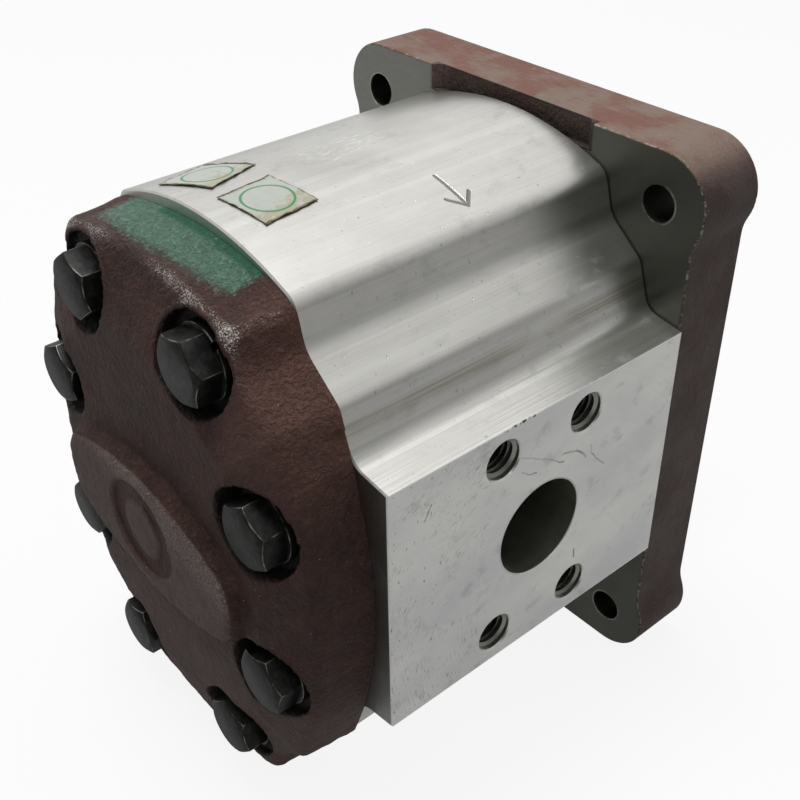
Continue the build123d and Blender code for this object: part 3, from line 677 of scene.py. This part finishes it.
# A strip of hard white plastic lies beside the seal in the groove of each block, and keeps the
# rubber from being squeezed out.
def backup_plastic(place):
    milky = place.cloud(4.0, (1, 1, 1), 4, 0.6)
    return {
        "Base Color": milky.over(shown(222, 216, 200), shown(238, 234, 222)),
        "Roughness": 0.35 + milky * 0.15,
        "Normal": (milky * 0.03).relief(),
    }


wear(["front_backup_ring", "rear_backup_ring"], finish("backup_plastic", backup_plastic))


# The mounting flange is a grey iron casting. Its rim is painted red brown over the rough skin, and
# its two faces are machined bare and have gone grey green with oil.
flange_bolts = mounts["flange_bolts"]
flange_hole_x = flange_bolts["dims"]["spacing_x_mm"] / 2
flange_hole_z = flange_bolts["dims"]["spacing_y_mm"] / 2
flange_hole_radius = flange_bolts["dims"]["hole_r_mm"]
flange_centre_z = flange_bolts["pos_m"][2] * 1000
flange_top_z = flange_high.z * 1000
flange_front_y = flange_bolts["pos_m"][1] * 1000
flange_back_y = housing_front_y
notch_half_width = 28.0
notch_depth = 2.2


def flange_iron(place):
    x, y, z = place.parts()
    front_face = y.rise(flange_front_y - 0.1, flange_front_y - 0.03)
    faces = y.rise(flange_back_y + 0.1, flange_back_y + 0.03) | front_face
    sand = place.cloud(0.9, (1, 1, 1), 4, 0.62)
    fine = place.cloud(0.35, (1, 1, 1), 2, 0.6, 3.0)
    lumps = place.cloud(6.0, (1, 1, 1), 4, 0.55, 4.0)
    broad = place.cloud(16.0, (1, 1, 1), 4, 0.6, 19.0)

    # The rim's paint is sanded through along its top and scuffed along its sides, and is painted
    # lighter on its top as light and darker on its sides as shade; the grime on the sides deepens
    # that painted shade
    sanding = place.cloud(0.45, (9, 1.4, 9), 4, 0.7, 7.0)
    top = z.rise(flange_top_z - 6.0, flange_top_z - 1.0)
    grain = sand.rise(0.34, 0.66)
    patches = broad * 0.7 + grain * 0.3
    side_paint_in_shade = patches.over(shown(56, 40, 38), shown(84, 62, 58))
    top_paint_in_light = patches.over(shown(108, 67, 55), shown(134, 89, 74))
    paint = top.over(side_paint_in_shade, top_paint_in_light)
    top_bare_in_light = lumps.over(shown(120, 106, 93), shown(140, 128, 114))
    bare = top.over(shown(100, 88, 84), top_bare_in_light)
    sanded = (broad * 1.4 + sanding * 0.6 - 1.0 + top * 0.04).rise(-0.1, 0.16)
    rubbed = (sanded * (0.4 + top * 0.35)).over(paint, bare)
    grime_and_side_shade = place.cloud(9.0, (1, 2, 1), 4, 0.6, 33.0).rise(0.5, 0.7) * (1 - top)
    darker = (grime_and_side_shade * 0.4).over(rubbed, shown(46, 34, 32))
    back_edge = y.rise(flange_back_y + 0.9, flange_back_y + 0.2)
    front_edge = y.rise(flange_front_y - 0.9, flange_front_y - 0.3)
    edge = (back_edge | front_edge) * (1 - faces)
    chips = place.cloud(1.3, (1, 1, 1), 4, 0.7, 9.0).rise(0.47, 0.6)
    chipped = (edge * chips * 0.85).over(darker, shown(176, 172, 160))
    flecks = place.cloud(0.7, (2.5, 1, 1), 3, 0.65, 14.0).rise(0.66, 0.72) * lumps.rise(0.45, 0.6)
    flecked = (flecks * 0.7).over(chipped, shown(170, 166, 156))

    # The notch over the housing is left as cast and painted near black as shade in its recess, and
    # its end has a lighter lip
    notch_floor_y = flange_back_y + notch_depth
    notch = abs(x).rise(notch_half_width + 0.5, notch_half_width - 0.5)
    notch = notch * y.rise(notch_floor_y + 0.15, notch_floor_y - 0.05) * z.rise(47.5, 47.9)
    cast_skin_in_shade = grain.over(shown(24, 19, 17), shown(70, 52, 45))
    lip = x.rise(-notch_half_width + 6.0, -notch_half_width + 1.0) * (0.4 + grain * 0.6)
    cast = (notch * 0.95).over(flecked, (lip * 0.8).over(cast_skin_in_shade, shown(132, 104, 96)))

    # Faces and bolt holes are machined bare, and the front is faced off round the shaft. The faces
    # are painted lighter towards the left lug as a painted reflection.
    milling = place.cloud(0.3, (14, 1, 3), 3, 0.6, 2.0)
    oiled = broad.over(shown(80, 83, 76), shown(112, 114, 106))
    machined = x.rise(6.0, -40.0).over(oiled, shown(150, 151, 144))
    machined = (milling * 0.3).over(machined, shown(78, 80, 74))
    front = y.rise(flange_front_y - 1.0, flange_front_y)
    rings = place.node("CombineXYZ", values={0: x.hypot(z), 1: y})
    facing = rings.cloud(0.3, (1, 1, 1), 3, 0.6, 8.0)
    faced_off = (facing * 0.7 + lumps * 0.3).over(shown(112, 114, 107), shown(164, 165, 158))
    machined = (front * 0.9).over(machined, faced_off)
    faced = faces.over(cast, machined)
    aside = abs(x) - flange_hole_x
    from_hole = aside.hypot(abs(z - flange_centre_z) - flange_hole_z)
    # The walls of the bolt holes are painted dark metal as shade inside them
    hole = from_hole.rise(flange_hole_radius + 0.4, flange_hole_radius + 0.2)
    holes_in_shade = (hole * (1 - faces)).over(faced, shown(52, 50, 46))
    outer_line = from_hole.rise(flange_hole_radius + 0.6, flange_hole_radius + 0.45)
    inner_line = from_hole.rise(flange_hole_radius, flange_hole_radius + 0.2)
    rim_line = faces * outer_line * inner_line * lumps.rise(0.35, 0.6)
    cast_relief = (grain * 0.07 + fine * 0.08 + lumps * 0.35) * (1 - faces) * (1 - hole)
    cast_relief = cast_relief + notch * (sand * 1.2 + lumps * 1.5) + milling * faces * 0.004
    cast_relief = cast_relief + facing * front * 0.012 - rim_line * 0.25
    return {
        "Base Color": (rim_line * 0.5).over(holes_in_shade, shown(190, 190, 184)),
        "Metallic": (faces | hole) * 0.9,
        "Roughness": 0.55 + sand * 0.15 - faces * 0.26 - hole * 0.1,
        "Normal": (cast_relief - chips * edge * 0.12).relief(),
    }


wear(["front_flange"], finish("red_brown_paint", flange_iron))


# The rear cover is a rough grey iron casting, painted a dark maroon, with a brushed patch of green
# paint on its top slope. Bare metal shows where its edges have been knocked.
upper_bolt_x = 22.17
upper_bolt_z = 53.26
middle_bolt_x = 39.85
middle_bolt_z = 21.6
pocket_radius = 11.1


def cover_iron(place):
    x, y, z = place.parts()
    sand = place.cloud(1.15, (1, 1, 1), 4, 0.6)
    fine = place.cloud(0.4, (1, 1, 1), 2, 0.6, 3.0)
    lumps = place.cloud(7.0, (1, 1, 1), 4, 0.55, 4.0)
    grain = sand.rise(0.34, 0.66)
    paint = (grain * 0.45 + lumps.rise(0.3, 0.7) * 0.55).over(shown(50, 34, 31), shown(86, 57, 50))
    # The right shoulder, where light falls on it, is painted lighter as a painted highlight
    shoulder_highlight = x.rise(24.0, 40.0) * z.rise(0.0, 22.0) * 0.32
    paint_under_highlight = shoulder_highlight.over(paint, shown(136, 98, 86))

    # A brush has left green paint on the top slope, dabbed over the grain and thick at the joint
    ragged = place.cloud(4.0, (1, 1, 1), 5, 0.7, 14.0) * 6.0 - 3.0
    grains = place.cloud(0.55, (1, 1, 1), 3, 0.75, 6.0)
    green = (x + 29.0 + ragged).rise(0.0, 6.0) * (27.0 - x + ragged).rise(0.0, 5.0)
    green = green * (y + 125.4 - (x + 6.0) ** 2 * 0.004 + ragged * 0.5).rise(-1.0, 6.0)
    green = green * z.rise(41.0, 43.5)
    green_grain = grains.rise(0.25, 0.75) * 0.6 + grain * 0.4
    thin_coat = green_grain.over(shown(60, 94, 78), shown(112, 152, 132))
    thick = green * y.rise(-114.2, -112.6) * (x + 14.0 + ragged).rise(0.0, 3.0)
    green_coat = (thick * 0.85).over(thin_coat, shown(20, 98, 70))
    brushed = (green + (grains + sand - 1.0) * 1.1).rise(0.15, 0.95) * green.rise(0.0, 0.2)
    coated = (brushed * 0.9).over(paint_under_highlight, green_coat)

    # Its crest is knocked bare in small bright specks, most of them at the two crown corners, and
    # a paler haze of them lies over the upper half of the boss
    aside = abs(x)
    height = abs(z - body_centre_z)
    to_upper = (aside - upper_bolt_x).hypot(height - upper_bolt_z)
    to_middle = (aside - middle_bolt_x).hypot(height - middle_bolt_z)
    to_bolt = to_upper & to_middle
    knocked = place.node("Attribute", {"attribute_name": "knocked"}, output="Fac")
    crest = (knocked + lumps * 0.3 - 0.15).rise(0.1, 0.7) * z.rise(26.0, 37.0)
    crest = crest * abs(x + 4.0).rise(0.0, 12.0) * y.rise(-112.4, -114.0)
    crest = crest * to_bolt.rise(pocket_radius + 0.6, pocket_radius + 2.0)
    on_boss = y.rise(-134.4, -135.0)
    haze = on_boss * (z + 20.0 + x * 0.3 + ragged).rise(0.0, 9.0)
    low_haze = z.rise(-38.0, -62.0) * 0.4
    specks = place.cloud(0.36, (1, 1, 1), 3, 0.75, 21.0)
    bare = (specks + crest * 0.16).rise(0.6, 0.72) * crest.rise(0.02, 0.6)
    stray = place.cloud(0.6, (1, 1, 1), 2, 0.6, 27.0).rise(0.735, 0.77)
    bare = bare | stray | (specks.rise(0.5, 0.64) * haze * 0.5)
    pale = crest * 0.35 | haze * 0.6 | on_boss * 0.45 | low_haze
    metal = (bare * 0.85).over(pale.over(coated, shown(122, 104, 98)), shown(214, 212, 206))
    # The bolt pockets are painted near black, for oil and as painted shade in the recesses
    pocket = to_bolt.rise(pocket_radius + 0.35, pocket_radius + 0.1)
    pocket_oil_and_shade = lumps.over(shown(20, 18, 17), shown(44, 40, 36))
    return {
        "Base Color": (pocket * 0.93).over(metal, pocket_oil_and_shade),
        "Metallic": bare * (1 - pocket),
        "Roughness": 0.5 + sand * 0.16 - bare * 0.15 - pocket * 0.12,
        "Specular IOR Level": 0.3,
        "Normal": ((grain * 0.36 + fine * 0.2) * (1 - pocket * 0.6) + lumps * 0.7).relief(),
    }


def merged_copy(node, name):
    """A copy of a CAD node's mesh in one skin, selected and ready for modifiers."""
    bpy.ops.object.select_all(action="DESELECT")
    copied = bpy.data.objects.new(name, frame["nodes"][node].data.copy())
    bpy.context.collection.objects.link(copied)
    bpy.context.view_layer.objects.active = copied
    copied.select_set(True)
    bpy.ops.object.mode_set(mode="EDIT")
    bpy.ops.mesh.select_all(action="SELECT")
    bpy.ops.mesh.remove_doubles(threshold=0.000002)
    bpy.ops.mesh.customdata_custom_splitnormals_clear()
    bpy.ops.object.mode_set(mode="OBJECT")
    copied.data.materials.clear()
    return copied


def cast_skin(piece, grain_size, rounds):
    """Remeshes a piece evenly and softens its edges, as on a sand casting."""
    remesh = piece.modifiers.new("sand_mould", "REMESH")
    remesh.mode = "VOXEL"
    remesh.voxel_size = grain_size
    bpy.ops.object.modifier_apply(modifier=remesh.name)
    soften = piece.modifiers.new("soft_edges", "SMOOTH")
    soften.factor = 0.5
    soften.iterations = rounds
    bpy.ops.object.modifier_apply(modifier=soften.name)
    bpy.ops.object.shade_smooth()


def mark_crests(piece, full_height, rounds):
    """Stores how far each vertex stands out of the smoothed piece, from 0 to 1, for its wear."""
    bpy.ops.object.duplicate()
    smoothed = bpy.context.object
    even_out = smoothed.modifiers.new("even_out", "SMOOTH")
    even_out.factor = 0.6
    even_out.iterations = rounds
    bpy.ops.object.modifier_apply(modifier=even_out.name)
    levels = [
        share((vertex.co - even.co).dot(vertex.normal), 0.0, full_height)
        for vertex, even in zip(piece.data.vertices, smoothed.data.vertices)
    ]
    bpy.data.objects.remove(smoothed)
    piece.data.attributes.new("knocked", "FLOAT", "POINT").data.foreach_set("value", levels)
    piece.select_set(True)
    bpy.context.view_layer.objects.active = piece


def lumpy(spot, size):
    """Smooth noise of about plus or minus one half, with lumps of the given size in millimetres."""
    return noise.fractal(spot * (1000 / size), 1.0, 2.0, 3) * 0.5


# The shape of the casting, in metres apart from the sizes of its lumps, which are in millimetres
joint_y = housing_low.y
same_place = 0.00001
joint_overhang = 0.0018
smooth_joint_edge = 0.0012
boss_face_y = cover_low.y
boss_skin = 0.0012
boss_sink = 0.0003
boss_dish = Vector((-0.0015, 0, -0.0235))
dish_radius = 0.0138
dish_slope = 0.0012
dish_depth = 0.0011
island_radius = 0.0085
island_slope = 0.0015
island_height = 0.0007
broad_lumps = 11.0
broad_swell = 0.0005
small_lumps = 2.6
small_swell = 0.0003
crown_reach = 0.0645
crown_swell = 0.0006
swells_towards_joint = (-0.005, -0.001)
swells_towards_right = (-0.014, 0.006)

# The joint face is drawn out before the remesh and cut back after it, so that its edge stays crisp
cover = merged_copy("rear_cover", "rear_cover_casting")
for face in cover.data.polygons:
    corners = [cover.data.vertices[corner].co for corner in face.vertices]
    face.select = all(abs(corner.y - joint_y) < same_place for corner in corners)
bpy.ops.object.mode_set(mode="EDIT")
bpy.ops.mesh.extrude_region_move(TRANSFORM_OT_translate={"value": (0, joint_overhang, 0)})
bpy.ops.object.mode_set(mode="OBJECT")
cast_skin(cover, grain_size=0.00065, rounds=3)
mark_crests(cover, full_height=0.0006, rounds=44)
outward = [vertex.normal.copy() for vertex in cover.data.vertices]
for vertex, normal in zip(cover.data.vertices, outward):
    spot = vertex.co.copy()
    rough = share(joint_y - spot.y, 0.0, smooth_joint_edge)
    dish = 0.0
    if spot.y < boss_face_y + boss_skin:
        reach = math.hypot(spot.x - boss_dish.x, spot.z - boss_dish.z)
        groove = share(reach, dish_radius, dish_radius - dish_slope)
        island = share(reach, island_radius, island_radius - island_slope)
        dish = boss_sink + dish_depth * groove - island_height * island
    elsewhere = spot + Vector((0.3, 0, 0))
    swell = lumpy(spot, broad_lumps) * broad_swell + lumpy(elsewhere, small_lumps) * small_swell
    moved = spot + normal * swell * rough + Vector((0, dish, 0))
    from_centre = math.hypot(spot.x, spot.z - body_centre_z / 1000)
    if from_centre > crown_reach and normal.z > 0.1:
        near_joint = share(spot.y - joint_y, *swells_towards_joint)
        on_right = share(spot.x, *swells_towards_right)
        moved += Vector((normal.x, 0, normal.z)) * crown_swell * near_joint * on_right
    vertex.co = Vector((moved.x, max(moved.y, boss_face_y), moved.z))
bpy.ops.object.mode_set(mode="EDIT")
bpy.ops.mesh.select_all(action="SELECT")
bpy.ops.mesh.bisect(
    plane_co=(0, joint_y, 0), plane_no=(0, 1, 0), use_fill=True, clear_outer=True
)
bpy.ops.object.mode_set(mode="OBJECT")
cover.data.materials.append(finish("maroon_paint", cover_iron))
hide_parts("rear_cover")
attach(cover, "case")


# The cover bolts, their split washers and the seal's retaining ring are black-oxide steel, grey
# where the oxide has rubbed off. The edges of bolts and washers are worn round and bright.
def black_steel(place):
    rub = place.cloud(2.4, (1, 1, 1), 5, 0.7).rise(0.42, 0.75)
    fine = place.cloud(0.35, (1, 1, 1), 3, 0.6, 6.0)
    dents = place.cloud(1.6, (1, 1, 1), 3, 0.6, 16.0)
    return {
        "Base Color": rub.over(shown(20, 21, 20), shown(52, 54, 50)),
        "Metallic": 0.3,
        "Roughness": 0.36 + fine * 0.2,
        "Specular IOR Level": 0.3,
        "Normal": (fine * 0.04 + dents * 0.08).relief(),
    }


def worn_edges(place):
    bright = place.cloud(3.6, (1, 1, 1), 3, 0.55, 2.0).rise(0.4, 0.66)
    return {
        "Base Color": bright.over(shown(40, 41, 38), shown(138, 136, 128)),
        "Metallic": 0.8,
        "Roughness": 0.42 - bright * 0.08,
        "Specular IOR Level": 0.2,
    }


oxide = finish("black_oxide", black_steel)
rubbed_oxide = finish("worn_edges", worn_edges)
wear(["seal_retaining_ring"], oxide)
for node, edge_width in (("cover_bolts", 0.00022), ("lock_washers", 0.0002)):
    steel = merged_copy(node, node + "_worn")
    steel.data.materials.append(oxide)
    steel.data.materials.append(rubbed_oxide)
    for side in steel.data.polygons:
        side.material_index = 0
    dissolve = steel.modifiers.new("flats", "DECIMATE")
    dissolve.decimate_type = "DISSOLVE"
    dissolve.angle_limit = math.radians(1.0)
    bpy.ops.object.modifier_apply(modifier=dissolve.name)
    rounding = steel.modifiers.new("rounded_edges", "BEVEL")
    rounding.width = edge_width
    rounding.segments = 2
    rounding.limit_method = "ANGLE"
    rounding.angle_limit = math.radians(42)
    rounding.material = 1
    bpy.ops.object.modifier_apply(modifier=rounding.name)
    bpy.ops.object.shade_smooth_by_angle(angle=math.radians(30))
    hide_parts(node)
    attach(steel, "case")
